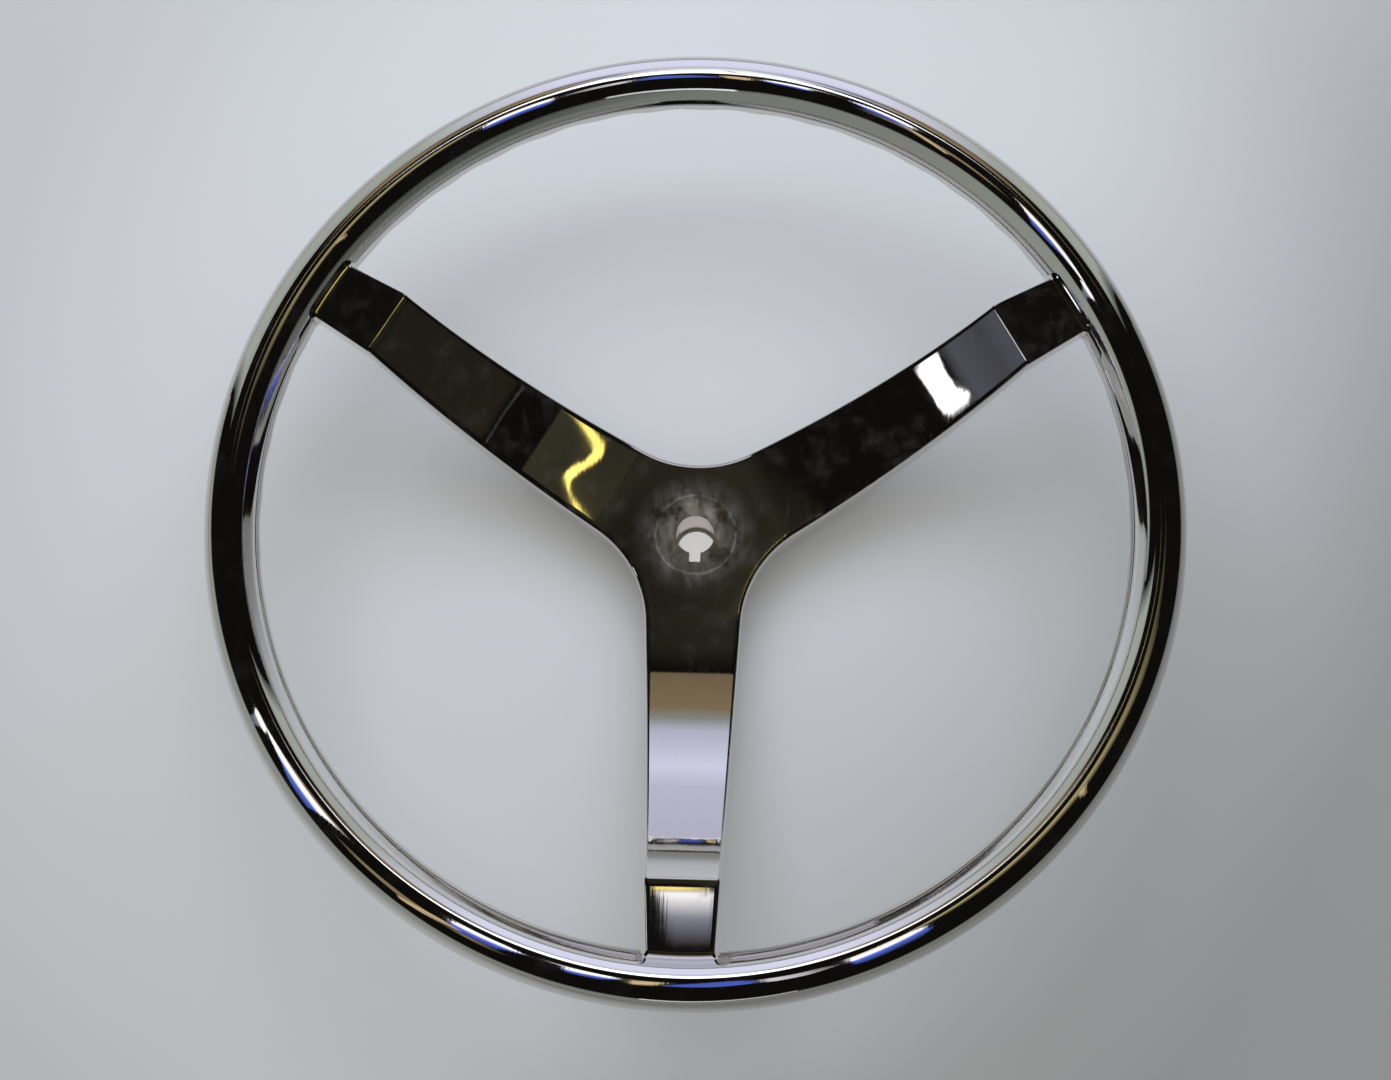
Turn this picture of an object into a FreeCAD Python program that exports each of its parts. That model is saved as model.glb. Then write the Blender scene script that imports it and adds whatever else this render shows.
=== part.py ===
# Dished steering wheel for a boat, all of polished stainless steel.
# A tube bent to a ring is carried by one pressed sheet with three arms, and the sheet sits on a
# turned boss whose tapered, keyed bore goes on the helm's shaft.
# Origin: centre of the boss's back face. +Z runs along the bore towards the helmsman, and the
# lower arm and the keyway point to -Y. Millimetres and degrees.
import FreeCAD, Part
import Sketcher
import math
import os

# Driving dimensions: alias, value and what it measures
SIZES = [
    ("rim_diameter", 393.7, "ring, outside to outside"),
    ("tube_diameter", 22.225, "tube of the ring"),
    ("grip_count", 48, "finger grips in the whole ring"),
    ("grip_depth", 1.45, "depth of a finger grip"),
    ("grip_lean", 45, "middle of the grips, turned back from the ring's inner side"),
    ("grip_spread", 70, "reach of a grip round the tube, each way from its middle"),
    ("grip_stop", 6.5, "plain stretch of the ring, each way from an arm's middle"),
    ("grip_fade", 5, "stretch over which the grips then reach full depth"),
    ("dish", 51.5, "boss's front face to the ring's middle plane"),
    ("boss_length", 30, "boss, back face to front face"),
    ("boss_diameter", 38.1, "boss behind the sheet"),
    ("boss_edge", 1.2, "chamfer round the boss's back face"),
    ("spigot_diameter", 34.4, "spigot that fills the sheet's hole"),
    ("spigot_edge", 0.4, "chamfer round the spigot's front face"),
    ("taper_mouth", 19.05, "bore's large end, at the back face"),
    ("taper_run", 12, "length over which the bore loses one unit of diameter"),
    ("key_width", 4.76, "keyway"),
    ("key_floor", 11.9, "bore's axis to the keyway's floor"),
    ("sheet_thickness", 2.5, "pressed sheet"),
    ("hub_flat", 30, "bore's axis to where each arm starts to rise"),
    ("valley_radius", 50, "outline between two arms"),
    ("arm_half_axis", 22.7, "half of an arm's width, its sides drawn on to the bore's axis"),
    ("arm_half_tip", 13.2, "half of an arm's width where it meets the ring"),
    ("tab_length", 26.9, "crease to the ring's inner side"),
    ("tab_over_rim", 3.3, "tab's top above the ring's middle plane"),
    ("crease_bend", 2, "bend radius at the crease"),
    ("shoulder_radius", 1.9, "bend radius between an arm's face and its hem"),
    ("hem_at_hub", 14, "depth of the turned down hem at the hub"),
    ("hem_at_tab", 10, "depth of the hem at the tab"),
    ("hub_weld", 4, "leg of the weld between the boss and the sheet"),
    ("tab_weld", 3.2, "hollow of the ground weld between a tab and the ring"),
]

# Arms, from the one at the keyway on, and how finely the ring's skin is laid out
ARM_NAMES = ["lower", "right", "left"]
ARM_COUNT = len(ARM_NAMES)
FIRST_ARM = -90
POLES_PER_GRIP = 4
POLES_ROUND_TUBE = 8
RING_PATCHES = 12
# How far a cutting form reaches past what it cuts
ROOM = 15

doc = FreeCAD.newDocument("boat_wheel")
sheet = doc.addObject("Spreadsheet::Sheet", "Sizes")
for row, (alias, value, note) in enumerate(SIZES, 1):
    sheet.set(f"A{row}", alias)
    sheet.set(f"B{row}", str(value))
    sheet.set(f"C{row}", note)
    sheet.setAlias(f"B{row}", alias)
doc.recompute()


def size(alias):
    return float(sheet.get(alias))


def vector(x, y, z=0):
    return FreeCAD.Vector(x, y, z)


# Sizes that follow from the driving ones
ring_radius = (size("rim_diameter") - size("tube_diameter")) / 2
tube_radius = size("tube_diameter") / 2
rim_plane = size("boss_length") + size("dish")
arm_reach = ring_radius - tube_radius
crease_at = arm_reach - size("tab_length")
tab_top = rim_plane + size("tab_over_rim")
arm_taper = (size("arm_half_axis") - size("arm_half_tip")) / arm_reach
ARM_ANGLES = [FIRST_ARM + k * 360 / ARM_COUNT for k in range(ARM_COUNT)]


def feature(name, shape):
    made = doc.addObject("Part::Feature", name)
    made.Shape = shape
    return made


def primitive(kind, name, expressions):
    """A primitive or an extrusion with its sizes bound to the sheet."""
    made = doc.addObject(kind, name)
    for prop, expression in expressions.items():
        made.setExpression(prop, expression)
    return made


def boolean(kind, name, base, tool):
    made = doc.addObject(kind, name)
    made.Base = base
    made.Tool = tool
    doc.recompute()
    return made


# Ring: the tube bent to a circle, with finger grips pressed into its inner, back side
def grip_depth_at(turn, around):
    """How far the tube's skin is pressed in, at an angle along the ring and one round the tube."""
    from_middle = abs((around - 180 - size("grip_lean") + 180) % 360 - 180)
    if from_middle >= size("grip_spread"):
        return 0
    from_arm = min(abs((turn - arm + 180) % 360 - 180) for arm in ARM_ANGLES)
    rise = min(max((from_arm - size("grip_stop")) / size("grip_fade"), 0), 1)
    round_tube = math.cos(math.pi / 2 * from_middle / size("grip_spread")) ** 2
    wave = (1 - math.cos(math.radians(size("grip_count") * (turn - FIRST_ARM)))) / 2
    return size("grip_depth") * rise * rise * (3 - 2 * rise) * round_tube * wave


def spline_shrink(count):
    """A closed cubic spline lies inside its poles by this factor."""
    return (2 + math.cos(2 * math.pi / count)) / 3


def ring_shape():
    along = int(size("grip_count")) * POLES_PER_GRIP
    poles = []
    for i in range(along):
        turn = 360 * i / along
        section = []
        for j in range(POLES_ROUND_TUBE):
            around = 360 * j / POLES_ROUND_TUBE
            pressed = grip_depth_at(turn, around) / spline_shrink(POLES_PER_GRIP)
            skin = tube_radius / spline_shrink(POLES_ROUND_TUBE) - pressed
            out = ring_radius / spline_shrink(along) + skin * math.cos(math.radians(around))
            height = rim_plane + skin * math.sin(math.radians(around))
            x = out * math.cos(math.radians(turn))
            y = out * math.sin(math.radians(turn))
            section.append(vector(x, y, height))
        poles.append(section)
    knots_along = [float(k) for k in range(along + 1)]
    knots_around = [float(k) for k in range(POLES_ROUND_TUBE + 1)]
    skin = Part.BSplineSurface()
    skin.buildFromPolesMultsKnots(
        poles, [1] * (along + 1), [1] * (POLES_ROUND_TUBE + 1),
        knots_along, knots_around, True, True, 3, 3)
    step = along / RING_PATCHES
    whole = float(POLES_ROUND_TUBE)
    patches = [skin.toShape(k * step, (k + 1) * step, 0.0, whole) for k in range(RING_PATCHES)]
    shell = Part.makeShell(patches)
    shell.sewShape()
    solid = Part.Solid(shell)
    if solid.Volume < 0:
        solid.reverse()
    return solid


rim = feature("rim_tube", ring_shape())
rim.Label = "rim_tube"


# Plan of the three arms, seen along the bore
def arm_point(angle, out, side, height=0):
    """A point given by its distance out along an arm, to the arm's left, and up."""
    c = math.cos(math.radians(angle))
    s = math.sin(math.radians(angle))
    return vector(out * c - side * s, out * s + side * c, height)


def plan_face(inset):
    """Outline of the sheet, moved in by inset."""
    lean = math.atan(arm_taper)
    half_axis = size("arm_half_axis") - inset / math.cos(lean)
    round_over = size("valley_radius") + inset
    between = math.radians(180 / ARM_COUNT)
    corner = half_axis / (math.sin(between) + math.cos(between) * arm_taper)
    valley = corner + round_over * (1 / math.sin(between + lean) - 1)
    side_start = corner * math.cos(between)
    side_start += round_over / math.tan(between + lean) * math.cos(lean)
    start_half = half_axis - arm_taper * side_start
    end_half = half_axis - arm_taper * ring_radius
    edges = []
    for angle in ARM_ANGLES:
        following = angle + 360 / ARM_COUNT
        right = arm_point(angle, side_start, -start_half)
        right_end = arm_point(angle, ring_radius, -end_half)
        left_end = arm_point(angle, ring_radius, end_half)
        left = arm_point(angle, side_start, start_half)
        middle = arm_point(angle + 180 / ARM_COUNT, valley, 0)
        next_right = arm_point(following, side_start, -start_half)
        edges.append(Part.makeLine(right, right_end))
        edges.append(Part.makeLine(right_end, left_end))
        edges.append(Part.makeLine(left_end, left))
        edges.append(Part.Arc(left, middle, next_right).toShape())
    return Part.Face(Part.Wire(edges))


# Side view of an arm: flat at the hub, then one arc up to the crease, then a level tab
def side_face(hub_top, bend_end, end_top, low):
    """The region under such a profile, drawn on the XZ plane."""
    start = size("hub_flat")
    turn = 2 * math.atan((end_top - hub_top) / (bend_end - start))
    bend = (bend_end - start) / math.sin(turn)
    rise_start = vector(start, 0, hub_top)
    middle = vector(start + bend * math.sin(turn / 2), 0, hub_top + bend * (1 - math.cos(turn / 2)))
    crease = vector(bend_end, 0, end_top)
    behind = -start
    far = ring_radius + ROOM
    corners = [crease, vector(far, 0, end_top), vector(far, 0, low), vector(behind, 0, low),
               vector(behind, 0, hub_top), rise_start]
    edges = [Part.Arc(rise_start, middle, crease).toShape()]
    edges += [Part.makeLine(a, b) for a, b in zip(corners, corners[1:])]
    return Part.Face(Part.Wire(edges))


def press_form(name, hub_top, bend_end, end_top, low):
    """The three arms' side faces, each as wide as the hub, joined in one form."""
    width = 2 * (size("arm_half_axis") + ROOM)
    arms = []
    for k, angle in enumerate(ARM_ANGLES):
        side = feature(f"{name}_side_{k + 1}", side_face(hub_top, bend_end, end_top, low))
        arm = doc.addObject("Part::Extrusion", f"{name}_arm_{k + 1}")
        arm.Base = side
        arm.DirMode = "Custom"
        arm.Dir = vector(0, 1)
        arm.Symmetric = True
        arm.Solid = True
        arm.setExpression("LengthFwd", f"2 * (Sizes.arm_half_axis + {ROOM})")
        turned = FreeCAD.Rotation(vector(0, 0, 1), angle)
        arm.Placement = FreeCAD.Placement(vector(0, 0), turned)
        arms.append(arm)
    form = doc.addObject("Part::MultiFuse", name)
    form.Shapes = arms
    form.Refine = True
    doc.recompute()
    return form


def plan_prism(name, inset):
    face = feature(f"{name}_face", plan_face(inset))
    prism = doc.addObject("Part::Extrusion", name)
    prism.Base = face
    prism.DirMode = "Custom"
    prism.Dir = vector(0, 0, 1)
    prism.Solid = True
    prism.setExpression("LengthFwd", f"Sizes.boss_length + Sizes.dish + {ROOM}")
    doc.recompute()
    return prism


# Sheet: the outer form less the inner form, one sheet thickness inside it
hub_top = size("boss_length")
sheet_thickness = size("sheet_thickness")
tab_under = tab_top - sheet_thickness
bend_turn = 2 * math.atan((tab_top - hub_top) / (crease_at - size("hub_flat")))
bend_radius = (crease_at - size("hub_flat")) / math.sin(bend_turn)
under_radius = bend_radius + sheet_thickness
under_drop = hub_top + bend_radius - tab_under
under_end = size("hub_flat") + math.sqrt(under_radius ** 2 - under_drop ** 2)
hem_bottom = tab_top - size("hem_at_tab")

face_form = press_form("face_form", hub_top, crease_at, tab_top, -ROOM)
under_form = press_form("under_form", hub_top - sheet_thickness, under_end, tab_under, -ROOM)
hem_form = press_form("hem_form", hub_top - size("hem_at_hub"), crease_at, hem_bottom, -2 * ROOM)
outer_prism = plan_prism("outer_prism", 0)
inner_prism = plan_prism("inner_prism", sheet_thickness)

pressed = boolean("Part::Common", "pressed", outer_prism, face_form)
hemmed = boolean("Part::Cut", "hemmed", pressed, hem_form)
hemmed.Refine = True
doc.recompute()


def edge_out(edge):
    middle = edge.CenterOfMass
    return math.hypot(middle.x, middle.y)


def crease_edges(shape):
    """Edges across the tabs where the arms' arc ends."""
    found = []
    for number, edge in enumerate(shape.Edges, 1):
        box = edge.BoundBox
        level = box.ZMin > tab_top - 0.01
        at_crease = abs(edge_out(edge) - crease_at) < 0.5
        if level and at_crease:
            found.append(number)
    return found


def shoulder_edges(shape):
    """Edges between the pressed face and the upright hem, short of the ring's middle."""
    found = []
    for number, edge in enumerate(shape.Edges, 1):
        slopes = []
        for face in shape.ancestorsOfType(edge, Part.Face):
            u_low, u_high, v_low, v_high = face.ParameterRange
            slopes.append(face.normalAt((u_low + u_high) / 2, (v_low + v_high) / 2).z)
        upright = min(abs(slope) for slope in slopes) < 0.001
        if upright and max(slopes) > 0.3 and edge_out(edge) < ring_radius - 1:
            found.append(number)
    return found


def fillet(name, base, edges, alias):
    """A fillet whose radius is read from the sheet."""
    made = doc.addObject("Part::Fillet", name)
    made.Base = base
    made.Edges = [(number, size(alias), size(alias)) for number in edges]
    doc.recompute()
    return made


creased = fillet("creased", hemmed, crease_edges(hemmed.Shape), "crease_bend")
shouldered = fillet("shouldered", creased, shoulder_edges(creased.Shape), "shoulder_radius")
under = boolean("Part::Common", "under", inner_prism, under_form)
channelled = boolean("Part::Cut", "channelled", shouldered, under)

ring_cutter = primitive("Part::Torus", "ring_cutter", {
    "Radius1": "(Sizes.rim_diameter - Sizes.tube_diameter) / 2",
    "Radius2": "Sizes.tube_diameter / 2",
    "Placement.Base.z": "Sizes.boss_length + Sizes.dish",
})
spigot_cutter = primitive("Part::Cylinder", "spigot_cutter", {
    "Radius": "Sizes.spigot_diameter / 2",
    "Height": "Sizes.boss_length + Sizes.dish",
})
coped = boolean("Part::Cut", "coped", channelled, ring_cutter)
bored = boolean("Part::Cut", "bored", coped, spigot_cutter)
inside_ring = max(bored.Shape.Solids, key=lambda solid: solid.Volume)
spider = feature("spoke_spider", inside_ring)
spider.Label = "spoke_spider"


# Boss: turned from bar, with the tapered bore, and then keyed
def boss_body():
    body = doc.addObject("PartDesign::Body", "hub_boss")
    body.Label = "hub_boss"
    planes = {plane.Role: plane for plane in body.Origin.OriginFeatures}
    profile = body.newObject("Sketcher::SketchObject", "boss_profile")
    profile.AttachmentSupport = [(planes["XZ_Plane"], "")]
    profile.MapMode = "FlatFace"
    back = 0
    mouth = size("taper_mouth") / 2
    nose = mouth - size("boss_length") / size("taper_run") / 2
    boss = size("boss_diameter") / 2
    spigot = size("spigot_diameter") / 2
    step = size("boss_length") - sheet_thickness
    corners = [
        (mouth, back), (boss - size("boss_edge"), back), (boss, size("boss_edge")), (boss, step),
        (spigot, step), (spigot, hub_top - size("spigot_edge")),
        (spigot - size("spigot_edge"), hub_top), (nose, hub_top),
    ]
    places = [
        ("Sizes.taper_mouth / 2", "0"),
        ("Sizes.boss_diameter / 2 - Sizes.boss_edge", "0"),
        ("Sizes.boss_diameter / 2", "Sizes.boss_edge"),
        ("Sizes.boss_diameter / 2", "Sizes.boss_length - Sizes.sheet_thickness"),
        ("Sizes.spigot_diameter / 2", "Sizes.boss_length - Sizes.sheet_thickness"),
        ("Sizes.spigot_diameter / 2", "Sizes.boss_length - Sizes.spigot_edge"),
        ("Sizes.spigot_diameter / 2 - Sizes.spigot_edge", "Sizes.boss_length"),
        ("(Sizes.taper_mouth - Sizes.boss_length / Sizes.taper_run) / 2", "Sizes.boss_length"),
    ]
    draw_polygon(profile, corners, places)
    turned = body.newObject("PartDesign::Revolution", "turned")
    turned.Profile = profile
    turned.ReferenceAxis = (profile, ["V_Axis"])
    turned.Angle = 360
    doc.recompute()
    keyway = body.newObject("Sketcher::SketchObject", "keyway_profile")
    keyway.AttachmentSupport = [(planes["XY_Plane"], "")]
    keyway.MapMode = "FlatFace"
    half = size("key_width") / 2
    floor = -size("key_floor")
    corners = [(-half, 0), (-half, floor), (half, floor), (half, 0)]
    places = [
        ("-Sizes.key_width / 2", "0"), ("-Sizes.key_width / 2", "-Sizes.key_floor"),
        ("Sizes.key_width / 2", "-Sizes.key_floor"), ("Sizes.key_width / 2", "0"),
    ]
    draw_polygon(keyway, corners, places)
    slot = body.newObject("PartDesign::Pocket", "keyway")
    slot.Profile = keyway
    slot.Type = "ThroughAll"
    slot.Midplane = True
    doc.recompute()
    return body


def draw_polygon(sketch, corners, places):
    """A closed polygon whose corners are placed by expressions from the sketch's origin."""
    count = len(corners)
    for k in range(count):
        start = vector(*corners[k])
        end = vector(*corners[(k + 1) % count])
        sketch.addGeometry(Part.LineSegment(start, end), False)
    for k in range(count):
        sketch.addConstraint(Sketcher.Constraint("Coincident", k, 2, (k + 1) % count, 1))
    for k, (x_place, y_place) in enumerate(places):
        for kind, value, place in (("DistanceX", corners[k][0], x_place),
                                   ("DistanceY", corners[k][1], y_place)):
            number = sketch.addConstraint(Sketcher.Constraint(kind, -1, 1, k, 1, value))
            sketch.setExpression(f"Constraints[{number}]", place)


boss = boss_body()

# Weld behind the sheet, round the boss
weld_cone = primitive("Part::Cone", "weld_cone", {
    "Radius1": "Sizes.boss_diameter / 2",
    "Radius2": "Sizes.boss_diameter / 2 + Sizes.hub_weld",
    "Height": "Sizes.hub_weld",
    "Placement.Base.z": "Sizes.boss_length - Sizes.sheet_thickness - Sizes.hub_weld",
})
weld_core = primitive("Part::Cylinder", "weld_core", {
    "Radius": "Sizes.boss_diameter / 2",
    "Height": "Sizes.boss_length",
})
hub_weld = boolean("Part::Cut", "hub_weld", weld_cone, weld_core)
hub_weld.Label = "hub_weld"


# Welds at the ring: the corner between a tab and the tube, filled and ground to a hollow
def tab_at_ring():
    """The first arm's tab, the tube beside it, both as one, and the edges where they meet."""
    tab_start = crease_at + size("tab_length") / 3
    wide = size("arm_half_axis") + ROOM
    block = Part.makeBox(ring_radius - tab_start, 2 * wide, 2 * ROOM,
                         vector(tab_start, -wide, tab_top - 2 * ROOM + 1))
    block.rotate(vector(0, 0), vector(0, 0, 1), FIRST_ARM)
    tab = shouldered.Shape.common(block)
    tube = Part.makeTorus(ring_radius, tube_radius, vector(0, 0, rim_plane))
    near = Part.makeBox(2 * ROOM + tube_radius, 2 * wide, 4 * ROOM,
                        vector(arm_reach - ROOM, -wide, rim_plane - 2 * ROOM))
    near.rotate(vector(0, 0), vector(0, 0, 1), FIRST_ARM)
    tube = tube.common(near)
    joined = tab.fuse(tube).removeSplitter()
    corners = []
    for edge in joined.Edges:
        faces = joined.ancestorsOfType(edge, Part.Face)
        on_tube = [face.Surface.TypeId == "Part::GeomToroid" for face in faces]
        beside_tab = edge_out(edge) < ring_radius - tube_radius / 2
        above_hem = edge.CenterOfMass.z > hem_bottom + 0.01
        if any(on_tube) and not all(on_tube) and beside_tab and above_hem:
            corners.append(edge)
    return tab, tube, joined, corners


def tab_weld_shape():
    """The weld of the first arm. At some sizes the modeller misses a radius, so near ones are tried."""
    tab, tube, joined, corners = tab_at_ring()
    length = sum(edge.Length for edge in corners)
    for share in (1, 0.99, 1.01, 0.98, 1.02, 0.96, 1.04, 0.93, 1.07):
        radius = share * size("tab_weld")
        try:
            filled = joined.makeFillet(radius, corners)
        except Part.OCCError:
            continue
        weld = filled.cut(tab).cut(tube)
        sound = weld.isValid() and len(weld.Solids) == 1
        if sound and weld.Volume < length * radius ** 2 / 2:
            return weld
    raise RuntimeError("the welds at the ring did not close")


tab_welds = []
first_weld = tab_weld_shape()
for arm_name, arm_angle in zip(ARM_NAMES, ARM_ANGLES):
    weld = feature(f"spoke_weld_{arm_name}", first_weld)
    weld.Placement = FreeCAD.Placement(
        vector(0, 0), FreeCAD.Rotation(vector(0, 0, 1), arm_angle - FIRST_ARM))
    weld.Label = f"spoke_weld_{arm_name}"
    tab_welds.append(weld)

doc.recompute()

# Checks before anything is written
subparts = [rim, spider, boss, hub_weld] + tab_welds
for made in doc.Objects:
    if "Invalid" in made.State or "Error" in made.State:
        raise RuntimeError(f"{made.Name} did not build: {made.State}")
for made in subparts:
    if made.Shape.isNull() or not made.Shape.isValid():
        raise RuntimeError(f"{made.Label} has no valid shape")

os.makedirs("parts", exist_ok=True)
for made in subparts:
    made.Shape.exportStep(f"parts/{made.Label}.step")
    print(made.Label, "volume", round(made.Shape.Volume), "solids", len(made.Shape.Solids))
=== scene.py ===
import bmesh
import bpy
import numpy as np
from mathutils import Matrix, Vector


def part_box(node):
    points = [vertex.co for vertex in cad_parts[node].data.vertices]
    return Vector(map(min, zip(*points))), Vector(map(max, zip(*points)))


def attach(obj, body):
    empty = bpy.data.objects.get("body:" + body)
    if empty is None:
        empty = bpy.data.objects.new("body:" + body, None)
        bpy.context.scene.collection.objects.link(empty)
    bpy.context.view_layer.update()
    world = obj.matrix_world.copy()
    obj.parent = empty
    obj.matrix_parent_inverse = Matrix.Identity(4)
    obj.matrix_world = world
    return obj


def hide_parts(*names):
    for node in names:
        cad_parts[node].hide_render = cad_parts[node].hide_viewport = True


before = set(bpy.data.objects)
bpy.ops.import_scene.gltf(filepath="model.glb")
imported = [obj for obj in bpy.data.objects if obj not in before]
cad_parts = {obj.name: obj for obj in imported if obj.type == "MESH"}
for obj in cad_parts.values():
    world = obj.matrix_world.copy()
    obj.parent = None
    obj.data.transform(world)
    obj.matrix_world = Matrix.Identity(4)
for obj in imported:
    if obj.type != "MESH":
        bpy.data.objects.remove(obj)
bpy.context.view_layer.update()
mm = 0.001
print("frame loaded")

# sizes read from the frame, in metres
ringLow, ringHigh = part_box("rim_tube")
bossLow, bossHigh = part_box("hub_boss")
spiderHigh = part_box("spoke_spider")[1]
tubeRadius = (ringHigh.z - ringLow.z) / 2
ringPlane = (ringHigh.z + ringLow.z) / 2
ringRadius = (ringHigh.x - ringLow.x) / 2 - tubeRadius
bossRadius = (bossHigh.x - bossLow.x) / 2
armReach = ringRadius - tubeRadius
hubTop = bossHigh.z
tabTop = spiderHigh.z
armNames = ["lower", "right", "left"]
armAngles = np.radians([-90, 30, 150])


# quads of a grid whose point (i, j) has the index start + i * cols + j
def gridQuads(rows, cols, wrapRows=False, wrapCols=False, start=0):
    i = np.arange(rows if wrapRows else rows - 1)[:, None]
    j = np.arange(cols if wrapCols else cols - 1)[None, :]
    nextI, nextJ = (i + 1) % rows, (j + 1) % cols
    quads = np.stack([i * cols + j, nextI * cols + j, nextI * cols + nextJ, i * cols + nextJ], -1)
    return start + quads.reshape(-1, 4)


# merges doubles, turns the faces outwards, shades smooth and keeps edges sharper than the angle
def finishMesh(piece, material, sharpAngle=None):
    work = bmesh.new()
    work.from_mesh(piece.data)
    bmesh.ops.remove_doubles(work, verts=work.verts, dist=2e-7)
    bmesh.ops.dissolve_degenerate(work, edges=work.edges, dist=1e-8)
    bmesh.ops.recalc_face_normals(work, faces=work.faces)
    work.to_mesh(piece.data)
    openEdges = sum(1 for edge in work.edges if not edge.is_manifold)
    print(piece.name, "faces", len(work.faces), "open edges", openEdges)
    work.free()
    piece.data.polygons.foreach_set("use_smooth", [True] * len(piece.data.polygons))
    if sharpAngle:
        piece.data.set_sharp_from_angle(angle=np.radians(sharpAngle))
    piece.data.materials.clear()
    piece.data.materials.append(material)


# one mesh at the origin, riding on the one body, in place of the nodes it stands for
def addPiece(name, points, faces, material, replaced, sharpAngle=None):
    mesh = bpy.data.meshes.new(name)
    mesh.from_pydata(np.asarray(points, float).reshape(-1, 3).tolist(), [], [list(face) for face in faces])
    mesh.update()
    piece = bpy.data.objects.new(name, mesh)
    bpy.context.scene.collection.objects.link(piece)
    finishMesh(piece, material, sharpAngle)
    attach(piece, "root")
    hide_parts(*replaced)
    return piece


# noise on Object coordinates, stretched along an axis where the finish has a lay
def addNoise(tree, scale, detail, stretch=(1, 1, 1), rough=0.6):
    coords = tree.nodes.new("ShaderNodeTexCoord")
    mapping = tree.nodes.new("ShaderNodeMapping")
    mapping.inputs["Scale"].default_value = stretch
    noise = tree.nodes.new("ShaderNodeTexNoise")
    noise.inputs["Scale"].default_value = scale
    noise.inputs["Detail"].default_value = detail
    noise.inputs["Roughness"].default_value = rough
    tree.links.new(coords.outputs["Object"], mapping.inputs["Vector"])
    tree.links.new(mapping.outputs["Vector"], noise.inputs["Vector"])
    return noise.outputs["Fac"]


# carries a value from one range to another, held at both ends
def addRange(tree, source, fromLow, fromHigh, toLow, toHigh, soft=False):
    spread = tree.nodes.new("ShaderNodeMapRange")
    spread.interpolation_type = "SMOOTHSTEP" if soft else "LINEAR"
    for name, value in (("From Min", fromLow), ("From Max", fromHigh), ("To Min", toLow), ("To Max", toHigh)):
        spread.inputs[name].default_value = value
    tree.links.new(source, spread.inputs["Value"])
    return spread.outputs["Result"]


# one sum or product of two values, each a socket or a number
def addMath(tree, operation, first, second):
    node = tree.nodes.new("ShaderNodeMath")
    node.operation = operation
    for slot, value in zip(node.inputs, (first, second)):
        if isinstance(value, (int, float)):
            slot.default_value = value
        else:
            tree.links.new(value, slot)
    return node.outputs["Value"]


polish = {
    "colour": (0.74, 0.725, 0.70, 1),
    "stainAndGlow": (0.50, 0.43, 0.33, 1),       # thin brown tint where the finish has aged, and the colour of the painted warm glow round the boss
    "roughness": 0.03,
    "haze": 0.05,                         # what a smudge adds to the roughness
    "veil": 0.035,                        # share of light that a smudge scatters
    "hubVeil": 0.22,                      # the same on the dull turned ring round the hub
    "scratch": 0.02,
    "scratchDepth": 0.2 * mm,
    "glowFrom": 10 * mm,                  # the dull area round the boss, also where the colour holds a painted warm glow, full inside this radius
    "glowTo": 29 * mm,
    # how far the painted warm glow turns the colour round the boss to brown
    "paintedGlowTint": 0.7,
    "markRadius": 17.4 * mm,              # a thin worn circle where the boss meets the sheet
    "markWidth": 0.9 * mm,
    "boreFrom": 8.7 * mm,                 # the bore's wall is reamed, so less bright
    "boreTo": 9.9 * mm,
    "boreRoughness": 0.2,
}
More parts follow.
